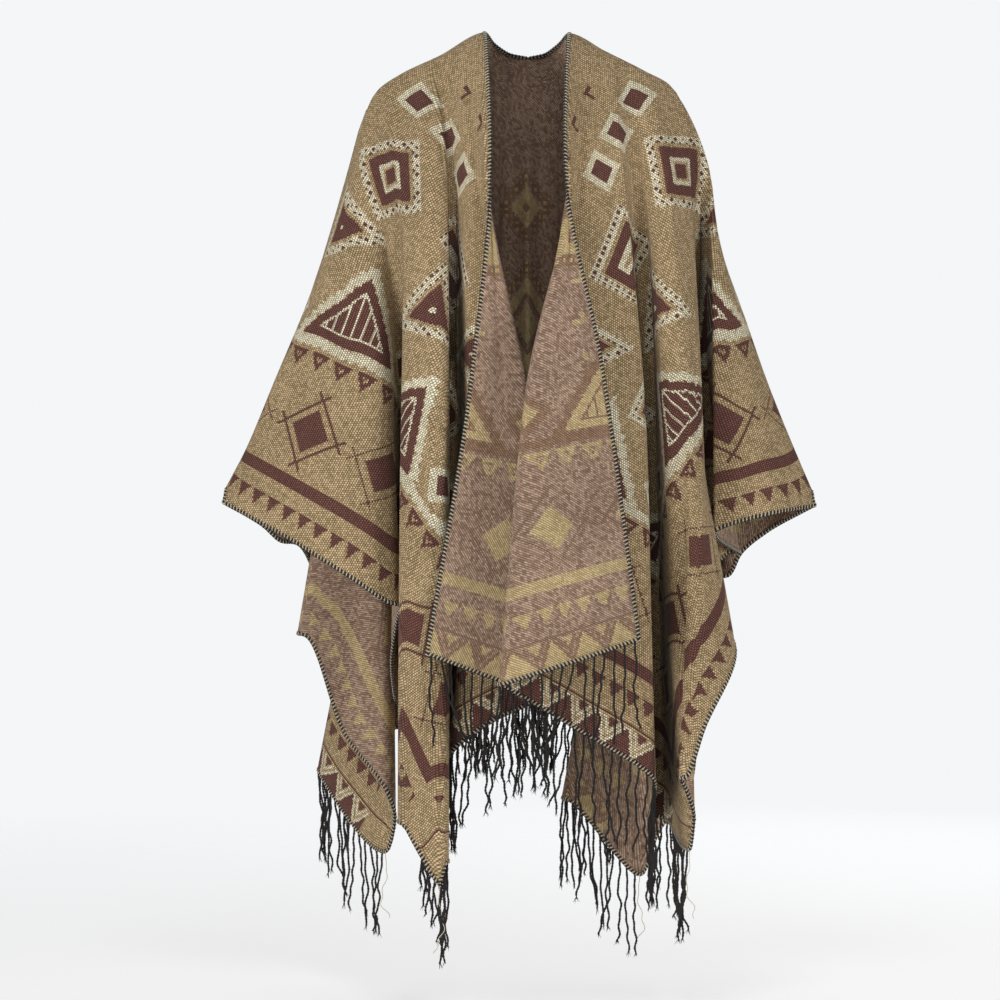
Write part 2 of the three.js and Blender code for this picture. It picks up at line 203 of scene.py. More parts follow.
# Soft square lights: where each stands and aims, in metres, its side and its power in watts.
GARMENT_MIDDLE = (0, 0, -0.5)
LIGHT_COLUMNS = ("name", "place", "aim", "side", "watts")
LIGHTS = [
    ("key", (-2.8, -2.1, -0.4), GARMENT_MIDDLE, 0.9, 54),
    ("low", (-2.0, -2.5, -0.95), (-0.1, 0, -0.75), 0.8, 36),
    ("fill", (2.7, -2.1, -0.9), GARMENT_MIDDLE, 1.0, 67),
    ("neck", (0.0, -0.9, 0.5), (0, 0.08, -0.35), 0.35, 5.4),
    ("top", (0.2, 0.6, 2.0), GARMENT_MIDDLE, 1.5, 8),
    ("rear", (1.2, 3.2, 0.2), GARMENT_MIDDLE, 2.0, 60),
]

# Soft creases: place across as a share, its drift over the drop, the shares of the drop where it
# starts and ends, and width and depth.
CREASE_COLUMNS = ("at", "drift", "from", "to", "width", "depth")
CREASES_FRONT_LEFT = [
    (0.045, 0.02, 0.02, 0.70, 13, 3.6),
    (0.10, 0.03, 0.03, 0.62, 12, -3.4),
    (0.30, 0.02, 0.05, 0.75, 20, 3.0),
    (0.52, -0.03, 0.10, 0.90, 24, -3.4),
    (0.66, -0.02, 0.12, 0.80, 20, 3.0),
    (0.84, 0.01, 0.15, 0.95, 26, 4.0),
]
CREASES_FRONT_RIGHT = [
    (0.05, 0.01, 0.02, 0.60, 12, -3.4),
    (0.12, 0.03, 0.04, 0.72, 14, 3.6),
    (0.27, 0.03, 0.06, 0.80, 18, -3.0),
    (0.45, 0.02, 0.10, 0.85, 22, 3.4),
    (0.64, -0.03, 0.10, 0.88, 22, -3.0),
    (0.86, 0.00, 0.15, 0.95, 26, 4.0),
]
CREASES_BACK = [
    (0.09, 0.02, 0.05, 0.95, 20, 3.2),
    (0.24, 0.03, 0.05, 0.90, 18, -3.2),
    (0.41, 0.02, 0.08, 0.90, 22, 3.4),
    (0.60, -0.02, 0.10, 0.85, 22, -3.4),
    (0.80, 0.02, 0.12, 0.95, 26, 3.6),
]

# The line over shoulder and arm: flat distance from the neck side, then the place x, y, z.
RIDGE_COLUMNS = ("s", "x", "y", "z")
RIDGE_LEFT = [
    (-50, 3, 50, -20),
    (-30, -18, 44, -17),
    (-12, -38, 24, -7),
    (0, -48, 0, 2),
    (55, -101, 0, -25),
    (110, -149, 0, -48),
    (143, -175, 0, -67),
    (172, -188, -1.6, -94),
    (228, -203, -4.7, -148),
    (336, -233, -10.7, -251),
    (402, -254, -14.3, -314),
    (498, -290, -19.6, -402),
    (593, -327, -24.9, -490),
    (650, -356, -28, -544),
]
RIDGE_RIGHT = [
    (-50, 3, 50, -20),
    (-30, 22, 44, -17),
    (-12, 40, 24, -7),
    (0, 50, 0, 1),
    (50, 93, 0, -20),
    (103, 140, 0, -44),
    (136, 168, 0, -60),
    (165, 181, -1.6, -85),
    (230, 193, -5.1, -148),
    (345, 226, -11.4, -257),
    (410, 249, -14.9, -319),
    (505, 280, -20.1, -408),
    (594, 313, -24.9, -490),
    (650, 338, -28, -548),
]

# One row for each rail: a fold, a crest or an edge that runs from the shoulder line to a hem or side
# edge. s is its flat place on the shoulder line, u and v that of its lower end, and round the width of
# the turn along it. xa, ya and xb, yb are its places across at two shares of its length, and x, y, z
# its lower end.
RAIL_SHARES = (0, 0.25, 0.6, 1)
RAIL_COLUMNS = ("name", "s", "u", "v", "round", "xa", "ya", "xb", "yb", "x", "y", "z")
FRONT_LEFT = [
    ("lapel_edge", 0, 0, 760, 0, -41, -100, -65, -118, -115, -132, -724),
    ("lapel_middle", 8, 75, 760, 0, -47, -97, -31, -118, -44, -134, -750),
    ("lapel_roll", 22, 148, 760, 12, -56, -88, 3, -109, 25, -121, -775),
    ("strip", 36, 215, 760, 0, -68, -84, -31, -98, -31, -110, -798),
    ("strip_end", 45, 280, 760, 0, -72, -80, -67, -88, -84, -102, -837),
    ("pleat_inside", 54, 360, 760, 0, -78, -70, -74, -44, -92, -30, -856),
    ("pleat_valley", 63, 445, 760, 14, -86, -62, -92, 0, -112, 45, -878),
    ("pleat_behind", 72, 535, 760, 0, -92, -72, -104, -42, -122, -30, -905),
    ("column_right", 82, 625, 760, 10, -96, -84, -92, -112, -91, -126, -962),
    ("corner", 95, 650, 760, 0, -108, -89, -105, -118, -99, -135, -986),
    ("column_crest", 107, 650, 715, 0, -120, -87, -122, -120, -124, -135, -948),
    ("column_left", 122, 650, 675, 10, -138, -76, -143, -105, -145, -118, -918),
    ("column_back", 132, 650, 572, 0, -145, -66, -131, -58, -131, -35, -868),
    ("arm_valley", 142, 650, 468, 14, -154, -54, -137, -8, -138, 55, -813),
    ("arm_front", 152, 650, 365, 0, -165, -47, -152, -38, -158, -15, -745),
    ("sleeve_start", 164, 650, 260, 10, -178, -42, -162, -70, -148, -78, -670),
    ("sleeve_middle", 300, 650, 200, 0, -230, -45, -218, -80, -203, -95, -638),
    ("sleeve_outer", 460, 650, 118, 0, -287, -38, -281, -60, -273, -75, -595),
    ("sleeve_tip", 640, 650, 10, 0, -352, -31, -353, -33, -355, -36, -552),
]
FRONT_RIGHT = [
    ("lapel_edge", 0, 0, 760, 0, 43, -100, 87, -145, 127, -168, -706),
    ("lapel_middle", 8, 85, 760, 0, 48, -97, 47, -156, 48, -185, -732),
    ("lapel_roll", 22, 171, 760, 14, 58, -88, -2, -149, -31, -172, -757),
    ("strip", 40, 270, 760, 0, 84, -84, 84, -126, 54, -154, -807),
    ("strip_end", 54, 389, 760, 0, 112, -80, 136, -100, 146, -125, -874),
    ("pleat_valley", 68, 525, 760, 14, 132, -64, 147, -20, 152, 5, -924),
    ("corner", 82, 650, 760, 8, 147, -80, 162, -108, 184, -115, -949),
    ("column_crest", 96, 650, 715, 0, 162, -82, 181, -112, 190, -130, -913),
    ("column_edge", 108, 650, 655, 8, 173, -74, 191, -112, 175, -152, -864),
    ("column_right", 120, 650, 590, 0, 183, -62, 200, -100, 202, -150, -804),
    ("column_side", 131, 650, 495, 0, 191, -48, 198, -62, 239, -105, -723),
    ("arm_valley", 142, 650, 390, 9, 199, -38, 199, -5, 206, -20, -666),
    ("arm_valley_back", 154, 650, 280, 9, 207, -34, 211, 12, 250, 30, -611),
    ("sleeve_start", 168, 650, 160, 0, 216, -38, 217, -60, 217, -75, -587),
    ("sleeve_outer", 360, 650, 100, 0, 247, -40, 258, -60, 270, -75, -568),
    ("sleeve_tip", 640, 650, 10, 0, 335, -31, 336, -33, 338, -36, -556),
]
BACK_LEFT = [
    ("centre", -50, -50, 760, 0, 3, 75, 3, 95, 3, 95, -765),
    ("pleat_1", -30, 35, 760, 10, -22, 90, -28, 130, -35, 165, -772),
    ("pleat_2", -10, 140, 760, 10, -45, 74, -55, 80, -70, 75, -778),
    ("pleat_3", 10, 245, 760, 10, -68, 88, -85, 125, -110, 155, -800),
    ("pleat_4", 29, 335, 760, 10, -90, 77, -112, 88, -145, 100, -825),
    ("pleat_5", 48, 430, 760, 0, -110, 86, -145, 118, -189, 135, -850),
    ("fold_back", 68, 528, 760, 14, -132, 80, -180, 128, -250, 160, -881),
    ("fold_front", 88, 645, 760, 10, -150, 64, -147, 72, -170, 30, -968),
    ("edge_low", 99, 650, 715, 0, -159, 56, -160, 55, -155, 14, -927),
    ("edge_bend", 109, 650, 680, 0, -166, 49, -172, 44, -165, 6, -894),
    ("edge_middle", 121, 650, 590, 0, -175, 42, -198, 38, -216, 40, -829),
    ("edge_high", 134, 650, 455, 10, -186, 36, -222, 34, -270, 50, -710),
    ("arm_valley", 147, 650, 310, 14, -196, 46, -225, 115, -232, 180, -660),
    ("sleeve_start", 164, 650, 120, 10, -208, 26, -246, 44, -284, 45, -600),
    ("sleeve_outer", 400, 650, 60, 0, -268, 5, -288, 18, -315, 22, -578),
    ("sleeve_tip", 640, 650, 10, 0, -352, -25, -353, -23, -355, -20, -552),
]
BACK_RIGHT = [
    ("centre", -50, -50, 760, 0, 3, 75, 3, 95, 3, 95, -765),
    ("pleat_1", -30, 35, 760, 10, 26, 90, 34, 130, 40, 165, -775),
    ("pleat_2", -10, 140, 760, 10, 46, 76, 58, 88, 70, 100, -785),
    ("pleat_3", 10, 245, 760, 10, 68, 88, 86, 135, 100, 185, -808),
    ("pleat_4", 29, 335, 760, 0, 90, 78, 108, 105, 122, 140, -830),
    ("fold_back", 48, 430, 760, 20, 114, 83, 143, 125, 168, 165, -860),
    ("fold_front", 68, 545, 760, 14, 134, 66, 114, 60, 46, 30, -905),
    ("corner", 88, 650, 760, 0, 152, 54, 160, 46, 135, 22, -995),
    ("edge_low", 100, 650, 700, 0, 163, 48, 180, 46, 159, 34, -944),
    ("edge_bend", 112, 650, 630, 0, 173, 45, 197, 48, 198, 46, -889),
    ("edge_middle", 124, 650, 525, 10, 182, 45, 205, 52, 216, 60, -789),
    ("arm_valley", 137, 650, 410, 14, 192, 50, 212, 110, 214, 175, -721),
    ("edge_high", 150, 650, 280, 10, 202, 34, 224, 44, 236, 52, -641),
    ("sleeve_start", 170, 650, 200, 0, 212, 24, 238, 36, 258, 42, -612),
    ("sleeve_outer", 420, 650, 90, 0, 262, 6, 276, 20, 290, 28, -585),
    ("sleeve_tip", 640, 650, 10, 0, 335, -25, 336, -23, 338, -20, -556),
]


def named(columns, rows):
    """Rows of a table as dictionaries with the columns' names."""
    return [dict(zip(columns, row)) for row in rows]


def slopes(knots, values):
    """The curve's slope at each knot: none at a crest or valley, else a mean of the slopes beside it."""
    gap = np.diff(knots)[:, None]
    rise = np.diff(values, axis=0) / gap
    before, after = rise[:-1], rise[1:]
    near = 2 * gap[1:] + gap[:-1]
    far = gap[1:] + 2 * gap[:-1]
    turn = before * after <= 0
    mean = (near + far) / (near / np.where(turn, 1, before) + far / np.where(turn, 1, after))
    return np.concatenate([rise[:1], np.where(turn, 0, mean), rise[-1:]])


def smooth(knots, values, at):
    """Smooth values between knots, which never pass the values beside them."""
    knots = np.asarray(knots, float)
    values = np.asarray(values, float)
    shape = values.shape[1:]
    values = values.reshape(len(knots), -1)
    at = np.asarray(at, float)
    i = np.clip(np.searchsorted(knots, at, side="left") - 1, 0, len(knots) - 2)
    span = (knots[i + 1] - knots[i])[:, None]
    h = (at - knots[i])[:, None] / span
    slope = slopes(knots, values)
    made = ((2 * h ** 3 - 3 * h ** 2 + 1) * values[i] + (h ** 3 - 2 * h ** 2 + h) * span * slope[i]
            + (3 * h ** 2 - 2 * h ** 3) * values[i + 1] + (h ** 3 - h ** 2) * span * slope[i + 1])
    return made.reshape((len(at),) + shape)


def on_ridge(ridge, s):
    """Places on the shoulder line at flat distances s."""
    knots = [row["s"] for row in ridge]
    x = smooth(knots, [[row["x"]] for row in ridge], s)[:, 0]
    y = np.interp(s, knots, [row["y"] for row in ridge])
    z = smooth(knots, [[row["z"]] for row in ridge], s)[:, 0]
    return np.stack([x, y, z], axis=-1)


def drop(t):
    """The drop along a rail: level over the shoulder, then steady."""
    a = ROUND_OVER
    return (np.sqrt(t * t + a * a) - a) / (math.sqrt(1 + a * a) - a)


def on_rail(ridge, rail, t):
    """Points of a rail at shares t of its length."""
    start = on_ridge(ridge, np.array([rail["s"]], float))[0]
    across = [[start[0], start[1]], [rail["xa"], rail["ya"]], [rail["xb"], rail["yb"]],
              [rail["x"], rail["y"]]]
    xy = smooth(RAIL_SHARES, across, t)
    z = start[2] + (rail["z"] - start[2]) * drop(t)
    return np.concatenate([xy, z[:, None]], axis=1), start


def unit(vectors):
    """The same vectors with length 1."""
    return vectors / np.linalg.norm(vectors, axis=-1, keepdims=True)


class Sheet:
    """A panel of cloth as a grid of points, columns across and rows down, in millimetres."""

    def __init__(self, ridge, rails, pitch, rows):
        ridge = named(RIDGE_COLUMNS, ridge)
        rails = named(RAIL_COLUMNS, rails)
        t = (np.arange(rows) / (rows - 1)) ** ROW_GATHER
        lines = [on_rail(ridge, rail, t) for rail in rails]
        knots, threads, flat = [], [], []
        at = 0.0
        for i, rail in enumerate(rails):
            if i:
                at += math.hypot(rail["u"] - rails[i - 1]["u"], rail["v"] - rails[i - 1]["v"])
            # A rail with a turn becomes two lines, each half the turn away from it.
            for side in ((-0.5, 0.5) if rail["round"] else (0,)):
                line = lines[i][0] - lines[i][1] * (1 - t)[:, None]
                if side:
                    before = unit(lines[i - 1][0][:, :2] - lines[i][0][:, :2])
                    after = unit(lines[i + 1][0][:, :2] - lines[i][0][:, :2])
                    opening = np.minimum(1, t / TURN_SHARE)[:, None]
                    line[:, :2] += side * rail["round"] * opening * unit(after - before)
                threads.append(line)
                knots.append(at + side * rail["round"])
                flat.append([rail["s"] + side * rail["round"] * START_SHARE, rail["u"], rail["v"]])
        # Columns stand on every line and about pitch apart between them.
        places = []
        for a, b in zip(knots[:-1], knots[1:]):
            parts = max(1, round((b - a) / pitch))
            places += [a + (b - a) * k / parts for k in range(parts)]
        places.append(knots[-1])
        self.places = np.array(places)
        self.s, self.u, self.v = smooth(knots, flat, places).T
        top = on_ridge(ridge, self.s)
        self.grid = top[:, None] * (1 - t)[None, :, None] + smooth(knots, threads, places)
        self.t = t
        # The lower edge is the hem as far as the last line that ends on it, then the side edge.
        corner = [k for k, rail in enumerate(rails) if rail["v"] == HALF_LENGTH][-1]
        last = sum(2 if rail["round"] else 1 for rail in rails[:corner + 1]) - 1
        self.on_hem = self.places <= knots[last] + 1e-6


def creased(sheet, creases):
    """Presses soft creases into a sheet, along its normals."""
    grid = sheet.grid
    normal = unit(np.cross(np.gradient(grid, axis=0), np.gradient(grid, axis=1)))
    share = sheet.places / sheet.places[-1]
    depth = np.zeros(grid.shape[:2])
    for crease in named(CREASE_COLUMNS, creases):
        middle = crease["at"] + crease["drift"] * sheet.t
        apart = (share[:, None] - middle) * sheet.places[-1] / crease["width"]
        run = np.clip((sheet.t - crease["from"]) / (crease["to"] - crease["from"]), 0, 1)
        depth += crease["depth"] * np.exp(-apart ** 2) * np.sin(math.pi * run) ** 1.3
    sheet.grid = grid + normal * depth[:, :, None]


def joined(sheets):
    """Points and faces of all panels, each a grid and whether its faces turn round."""
    points, quads = [], []
    base = 0
    for grid, flip in sheets:
        n, m = grid.shape[:2]
        index = np.arange(n * m).reshape(n, m) + base
        a, b, c, d = index[:-1, :-1], index[1:, :-1], index[1:, 1:], index[:-1, 1:]
        ring = (a, b, c, d) if not flip else (a, d, c, b)
        quads.append(np.stack([k.ravel() for k in ring], axis=1))
        points.append(grid.reshape(-1, 3))
        base += n * m
    return np.concatenate(points), np.concatenate(quads)


def relaxed(grid, start, held_u, held_v):
    """Flat places u, v of a grid of points, as near as can be to the distances in the draped cloth.

    start has the first guess. held_u and held_v are True where that guess stays. Cloth that faces
    front or back keeps its scale, and the walls of folds give."""
    n, m = grid.shape[:2]
    normal = unit(np.cross(np.gradient(grid, axis=0), np.gradient(grid, axis=1)))
    facing = (FOLD_WEIGHT + normal[:, :, 1] ** 2).ravel()
    index = np.arange(n * m).reshape(n, m)
    pairs = np.concatenate([
        np.stack([a.ravel(), b.ravel()], axis=1) for a, b in (
            (index[:-1], index[1:]), (index[:, :-1], index[:, 1:]),
            (index[:-1, :-1], index[1:, 1:]), (index[:-1, 1:], index[1:, :-1]))])
    a, b = pairs.T
    points = grid.reshape(-1, 3)
    rest = np.linalg.norm(points[b] - points[a], axis=1)
    weight = np.minimum(facing[a], facing[b]) / np.maximum(rest, SHORTEST)
    base = np.zeros((n * m, n * m))
    np.add.at(base, (a, a), weight)
    np.add.at(base, (b, b), weight)
    np.add.at(base, (a, b), -weight)
    np.add.at(base, (b, a), -weight)
    flat = start.reshape(-1, 2).copy()
    solvers = []
    for axis, held in enumerate((held_u.ravel(), held_v.ravel())):
        pull = np.where(held, HOLD, FREE_HOLD)
        solvers.append((np.linalg.inv(base + np.diag(pull)), pull * flat[:, axis]))
    for _ in range(RELAX_STEPS):
        apart = flat[b] - flat[a]
        wanted = apart * (weight * rest / np.maximum(np.linalg.norm(apart, axis=1), 1e-6))[:, None]
        for axis, (inverse, pulled) in enumerate(solvers):
            force = pulled.copy()
            np.add.at(force, b, wanted[:, axis])
            np.add.at(force, a, -wanted[:, axis])
            flat[:, axis] = inverse @ force
    return flat.reshape(n, m, 2)


def first_guess(sheet):
    """Flat places if each rail ran straight in the flat cloth."""
    u = sheet.s[:, None] * (1 - sheet.t) + sheet.u[:, None] * sheet.t
    return np.stack([u, sheet.v[:, None] * sheet.t], axis=-1)


def held(sheet):
    """Where a sheet's flat places are known, u on the side edge, v on the hem, both on the shoulder."""
    u = np.zeros(sheet.grid.shape[:2], bool)
    u[:, 0] = True
    v = u.copy()
    u[~sheet.on_hem, -1] = True
    u[-1] = True
    v[sheet.on_hem, -1] = True
    return u, v


def spread(coarse, fine, values):
    """Values on a coarse sheet's grid, smoothly on a finer one's."""
    across = smooth(coarse.places, values, fine.places)
    return smooth(coarse.t, across.swapaxes(0, 1), fine.t).swapaxes(0, 1)


def both(left, right):
    """Two grids as one, over the centre that they share."""
    return np.concatenate([left[:0:-1], right])


def panel(ridge, rails):
    """A panel's fine sheet, and the coarse one that it is flattened on."""
    return Sheet(ridge, rails, COLUMN_PITCH, ROWS), Sheet(ridge, rails, COARSE_PITCH, COARSE_ROWS)


def flattened_front(fine, coarse):
    """Flat places of a front panel's fine sheet."""
    return spread(coarse, fine, relaxed(coarse.grid, first_guess(coarse), *held(coarse)))


def flattened_back(fine_left, coarse_left, fine_right, coarse_right):
    """Flat places of the two halves of the back, u from the centre, flattened as one."""
    guess_left = (first_guess(coarse_left) + (NECK, 0)) * (-1, 1)
    guess_right = first_guess(coarse_right) + (NECK, 0)
    known = [both(a, b) for a, b in zip(held(coarse_left), held(coarse_right))]
    flat = relaxed(both(coarse_left.grid, coarse_right.grid), both(guess_left, guess_right), *known)
    centre = len(coarse_left.places) - 1
    return (spread(coarse_left, fine_left, flat[centre::-1]),
            spread(coarse_right, fine_right, flat[centre:]))


class Value:
    """A number or colour that varies over a surface: the output socket of a node."""

    def __init__(self, nodes, socket):
        self.nodes = nodes
        self.socket = socket

    def maths(self, operation, *others):
        return self.nodes.add("ShaderNodeMath", {"operation": operation}, [self, *others])

    def __add__(self, other):
        return self.maths("ADD", other)

    def __sub__(self, other):
        return self.maths("SUBTRACT", other)

    def __rsub__(self, other):
        return self.maths("MULTIPLY_ADD", -1, other)

    def __mul__(self, other):
        return self.maths("MULTIPLY", other)

    def __truediv__(self, other):
        return self.maths("DIVIDE", other)

    def __lt__(self, other):
        return self.maths("LESS_THAN", other)

    def __gt__(self, other):
        return self.maths("GREATER_THAN", other)

    def __and__(self, other):
        return self.maths("MULTIPLY", other)

    def __or__(self, other):
        return self.maths("MAXIMUM", other)

    def __invert__(self):
        return self.maths("MULTIPLY_ADD", -1, 1)

    def __abs__(self):
        return self.maths("ABSOLUTE")

    __radd__ = __add__
    __rmul__ = __mul__

    def floor(self):
        return self.maths("FLOOR")

    def fraction(self):
        return self.maths("FRACT")

    def least(self, other):
        return self.maths("MINIMUM", other)

    def most(self, other):
        return self.maths("MAXIMUM", other)

    def between(self, low, high):
        return (self > low) & (self < high)

    def repeated(self, pitch, start=0):
        """Signed distance to the nearest of places pitch apart."""
        return (((self - start) / pitch + 0.5).fraction() - 0.5) * pitch

    def stepped(self, pitch):
        """The middle of the step, pitch wide, that the value is in."""
        return ((self / pitch).floor() + 0.5) * pitch


class Nodes:
    """The nodes of a new material, or of the room's light, around its shader."""

    def __init__(self, owner, shader="Principled BSDF"):
        owner.use_nodes = True
        self.owner = owner
        self.tree = owner.node_tree
        self.shader = self.tree.nodes[shader]

    def add(self, kind, settings, values=(), output=0):
        """A node: its type, then its settings, then what goes in. Returns one output."""
        node = self.tree.nodes.new(kind)
        for name, setting in settings.items():
            setattr(node, name, setting)
        for place, value in (values.items() if isinstance(values, dict) else enumerate(values)):
            if isinstance(value, Value):
                self.tree.links.new(value.socket, node.inputs[place])
            else:
                node.inputs[place].default_value = value
        return Value(self, node.outputs[output])

    def flat(self):
        """Flat places u and v on the cloth, in millimetres."""
        chart = self.add("ShaderNodeUVMap", {"uv_map": "flat"})
        return [self.add("ShaderNodeSeparateXYZ", {}, [chart], axis) * (1 / MM) for axis in ("X", "Y")]

    def mixed(self, factor, a, b):
        """Colour a where factor is 0 and b where it is 1."""
        return self.add("ShaderNodeMix", {"data_type": "RGBA"}, {0: factor, 6: a, 7: b}, 2)

    def shaded(self, colour, shade):
        """A colour times a shade of grey."""
        grey = self.add("ShaderNodeCombineColor", {}, [shade, shade, shade])
        return self.add("ShaderNodeMix", {"data_type": "RGBA", "blend_type": "MULTIPLY"},
                        {0: 1, 6: colour, 7: grey}, 2)

    def noise(self, x, y):
        """A steady random number from 0 to 1 for each pair x, y."""
        place = self.add("ShaderNodeCombineXYZ", {}, [x, y])
        return self.add("ShaderNodeTexWhiteNoise", {"noise_dimensions": "2D"}, [place])

    def clouds(self, x, y, size):
        """A smooth random number from 0 to 1 with patches of some size."""
        place = self.add("ShaderNodeCombineXYZ", {}, [x / size, y / size])
        return self.add("ShaderNodeTexNoise", {"noise_dimensions": "2D"},
                        {"Vector": place, "Scale": 1, "Detail": 3})

    def feed(self, name, value):
        """Links a value to an input of the shader."""
        self.tree.links.new(value.socket, self.shader.inputs[name])

    def keep(self, **settings):
        """Sets inputs of the shader that don't vary. An underscore stands for a space."""
        for name, setting in settings.items():
            self.shader.inputs[name.replace("_", " ")].default_value = setting


def diamond(u, v, radius):
    """Depth inside a diamond with corners radius from its middle, less than 0 outside."""
    return radius - abs(u) - abs(v)


def box(u, v, half_u, half_v):
    """Depth inside a rectangle, less than 0 outside."""
    return (half_u - abs(u)).least(half_v - abs(v))


def triangle(u, v, half_base, height):
    """Depth inside a triangle with its base on v = 0 and its tip at v = height, less than 0 outside."""
    lean = height / half_base
    side = (height - v - abs(u) * lean) * (1 / math.hypot(1, lean))
    return v.least(side)


def hem_zigzag(from_side, from_hem):
    """The zigzag along a hem and the line above it, as dark, cream and line masks."""
    rise = (1 - from_hem / ZIGZAG_HEIGHT
            - abs(from_side.repeated(ZIGZAG_PITCH)) / (ZIGZAG_PITCH / 2))
    band = from_hem.between(0, ZIGZAG_HEIGHT) & (from_side > ZIGZAG_START)
    dark = ((rise > 0.02) | (rise < -0.62)) & band
    cream = (rise.between(-0.16, 0.02) | rise.between(-0.52, -0.36)) & band
    return dark, cream, from_hem.between(ZIGZAG_BAND - HEM_LINE, ZIGZAG_BAND)


def beads(depth, along, inner):
    """A row of small dark triangles and the stripe above them."""
    bead = triangle(along.repeated(BEAD_PITCH), BEAD_DEPTH - depth, BEAD_HALF, BEAD_HEIGHT)
    row = (bead > 0) & (inner > 0) & (along > BEAD_START)
    return row | depth.between(*STRIPE)


def crossed_diamonds(depth, along):
    """Dark diamonds, and crossed lines around each."""
    u = along.repeated(STEP, LOZENGE_DEPTH)
    v = depth - LOZENGE_DEPTH
    stone = diamond(u, v, LOZENGE) > 0
    cross = abs(abs(u + v) - CROSS_LINE).least(abs(abs(u - v) - CROSS_LINE))
    return stone, (cross < CROSS_HALF) & ((abs(u) + abs(v)) < CROSS_ARM)


def teeth(depth, along):
    """Small open dark triangles, and the jagged cream line above them."""
    tooth = triangle(along.repeated(TOOTH_PITCH, TOOTH_PITCH * 0.4), TOOTH_DEPTH - depth,
                     TOOTH_HALF, TOOTH_HEIGHT)
    edge, heart = TOOTH_GAP
    dark = (tooth.between(0, edge) | (tooth > heart)) & (along > TOOTH_START)
    jag = abs(along.repeated(JAG_PITCH)) * 0.5
    return dark, (depth + jag).between(*JAGGED_LINE) & (along > JAGGED_START)


def hatched_peaks(u, v, depth, along):
    """Large hatched triangles with ragged cream edges, and small framed diamonds between them."""
    past_corner = along > PEAK_DEPTH
    across = along.repeated(2 * STEP, LOZENGE_DEPTH + STEP)
    peak = triangle(across, depth - PEAK_DEPTH, PEAK_HALF, PEAK_HEIGHT)
    hatch = ((abs(across.repeated(HATCH_PITCH)) < HATCH_HALF) | peak.between(PEAK_EDGE, PEAK_LINE))
    hatch = hatch & (peak > PEAK_EDGE)
    ragged = abs(v.repeated(RAGGED_PITCH)) * 0.8 + abs(u.repeated(RAGGED_PITCH)) * 0.8
    halo = (peak + ragged).between(*PEAK_HALO) & (peak < 0) & (depth > HALO_DEPTH)
    between = along.repeated(2 * STEP, LOZENGE_DEPTH + 2 * STEP)
    stone = diamond(between, depth - STONE_DEPTH, STONE)
    dark = ((peak > 0) & ~hatch) | (stone > STONE_EDGE)
    cream = halo | hatch | stone.between(0, STONE_EDGE)
    return dark & past_corner, cream & past_corner


def gems_and_hooks(u, v, depth):
    """A column of small framed squares, and one of hooks."""
    field = depth > FIELD_DEPTH
    gem = box(u - GEM_PLACE, v.repeated(GEM_PITCH, GEM_FIRST), GEM_HALF, GEM_HALF)
    run = v.between(*GEM_RUN) & field
    mark_u = u - HOOK_PLACE
    mark_v = v.repeated(HOOK_PITCH, HOOK_FIRST)
    hook = ((mark_u.between(-6, -1) & mark_v.between(-8, 7))
            | (mark_u.between(-6, 8) & mark_v.between(2, 7)))
    dark = ((gem > GEM_EDGE) & run) | (hook & (v > HOOK_START) & field)
    return dark, gem.between(0, GEM_EDGE) & run


def stepped_frames(u, v):
    """The field's large frames: diamonds, boxes and triangles in dark and dotted cream rings."""
    depths = [diamond(u - one["u"], v - one["v"], one["radius"]) * SLANT
              for one in named(FRAME_DIAMOND_COLUMNS, FRAME_DIAMONDS)]
    depths += [box(u - one["u"], v - one["v"], one["half_u"], one["half_v"])
               for one in named(FRAME_BOX_COLUMNS, FRAME_BOXES)]
    depths += [triangle(u - one["u"], v - one["base"], one["half_base"], one["height"])
               for one in named(FRAME_TRIANGLE_COLUMNS, FRAME_TRIANGLES)]
    frames = depths[0]
    for depth in depths[1:]:
        frames = frames.most(depth)
    dot = (abs(u.repeated(DOT_PITCH)) < DOT_HALF) & (abs(v.repeated(DOT_PITCH)) < DOT_HALF)
    dark = (frames.between(*FRAME_DOTS) & dot) | frames.between(*FRAME_DARK) | (frames > FRAME_HEART)
    return dark, (frames.between(*FRAME_CREAM) & ~dot) | frames.between(*FRAME_LINE)


def pattern(u, v):
    """Where the dark, the cream and the line yarns show, as masks over flat places u, v.

    Bands run along the side edges and, a little further in, along the hems, and meet in the corners.
    Triangles, diamonds and stepped frames of common kinds stand in them and in the field between."""
    u, v = abs(u), abs(v)
    from_side = HALF_WIDTH + NECK - u
    from_hem = HALF_LENGTH - v
    inner = from_hem - ZIGZAG_BAND
    depth = from_side.least(inner)
    along = from_side.most(inner)
    dark, cream, line = hem_zigzag(from_side, from_hem)
    stones, cross = crossed_diamonds(depth, along)
    dark = dark | beads(depth, along, inner) | stones
    for more_dark, more_cream in (teeth(depth, along), hatched_peaks(u, v, depth, along),
                                  gems_and_hooks(u, v, depth), stepped_frames(u, v)):
        dark = dark | more_dark
        cream = cream | more_cream
    return dark, cream, line | cross


def threads(nodes, u, v, weave):
    """The height of the threads, 0 to 1, and a random tone for each of them.

    They lie in rows, each half a thread on from the last. Slanted rows make diagonal ribs."""
    if weave["slanted"]:
        u, v = (u - v) * math.sqrt(0.5), (u + v) * math.sqrt(0.5)
    row = (v / weave["wide"]).floor()
    place = u / weave["long"] + row * 0.5
    across = place.fraction() * 2 - 1
    down = (v / weave["wide"]).fraction() * 2 - 1
    height = (1 - down * down) * (1 - across * across * weave["bend"])
    return height, nodes.noise(place.floor(), row)


